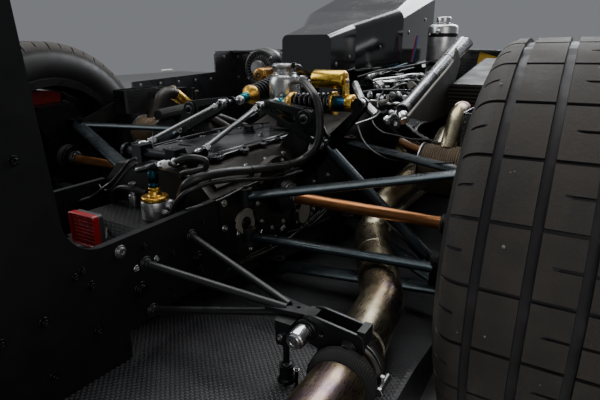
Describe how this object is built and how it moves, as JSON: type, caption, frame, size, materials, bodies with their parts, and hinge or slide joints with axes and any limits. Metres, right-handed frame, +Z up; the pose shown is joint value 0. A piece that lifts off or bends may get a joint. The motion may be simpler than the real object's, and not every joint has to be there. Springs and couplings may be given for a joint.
{
  "type": "sports prototype race car rear end",
  "caption": "Rear end of a closed-wheel race car: engine, gearbox, suspension with inboard dampers, wheels, exhausts, wing and diffuser.",
  "frame": {"origin": "middle of the engine's front face, where the chassis bolts on", "axes": "+X to the right of the car, +Y forward out of the mounting face, +Z up"},
  "size_m": [1.9816, 2, 1.0657],
  "materials": {
    "engine": "satin",
    "covers": "satin",
    "intake": "gloss",
    "casing": "satin",
    "lid": "gloss",
    "arms": "satin",
    "steel": "satin",
    "alloy": "satin",
    "springs": "satin",
    "damper": "satin",
    "carbon": "satin",
    "plates": "matte",
    "pipe": "heat stained",
    "shaft": "satin",
    "caliper": "gloss",
    "disc": "matte",
    "lamp": "gloss",
    "tyre": "matte",
    "rim": "satin",
    "hose": "matte"
  },
  "bodies": {
    "rear_end": {"air_duct": "carbon", "airbox": "intake", "alternator": "alloy", "bellhousing": "casing", "brake_scoops": "carbon", "bulkheads": "carbon", "calipers": "caliper", "cam_covers": "covers", "catch_canister": "alloy", "crash_box": "carbon", "crash_plates": "plates", "damper_bracket": "alloy", "damper_left": "damper", "damper_right": "damper", "damper_springs": "springs", "diffuser_floor": "carbon", "engine_block": "engine", "exhaust_left": "pipe", "exhaust_right": "pipe", "exhaust_stays": "plates", "fluid_pot": "alloy", "gearbox_case": "casing", "gearbox_cover": "lid", "header_tank": "alloy", "hoses": "hose", "lower_wishbone_left": "arms", "lower_wishbone_right": "arms", "pushrods": "arms", "rain_lamp": "lamp", "rockers": "steel", "roll_bar": "steel", "roll_bar_bearings": "alloy", "roll_links": "steel", "side_panels": "carbon", "support_tube": "carbon", "toe_links": "arms", "upper_wishbone_left": "arms", "upper_wishbone_right": "arms", "upright_left": "steel", "upright_right": "steel", "wing_end_plates": "carbon", "wing_flap": "carbon", "wing_main": "carbon", "wing_pylons": "plates"},
    "wheel_left": {"tyre_left": "tyre", "rim_left": "rim", "brake_disc_left": "disc", "driveshaft_left": "shaft"},
    "wheel_right": {"tyre_right": "tyre", "rim_right": "rim", "brake_disc_right": "disc", "driveshaft_right": "shaft"}
  },
  "joints": [
    {"name": "wheel_left_spin", "type": "hinge", "parent": "rear_end", "child": "wheel_left", "pos_m": [-0.812, -1.15, 0.025], "axis": [1, 0, 0], "continuous": true},
    {"name": "wheel_right_spin", "type": "hinge", "parent": "rear_end", "child": "wheel_right", "pos_m": [0.812, -1.15, 0.025], "axis": [1, 0, 0], "continuous": true}
  ]
}
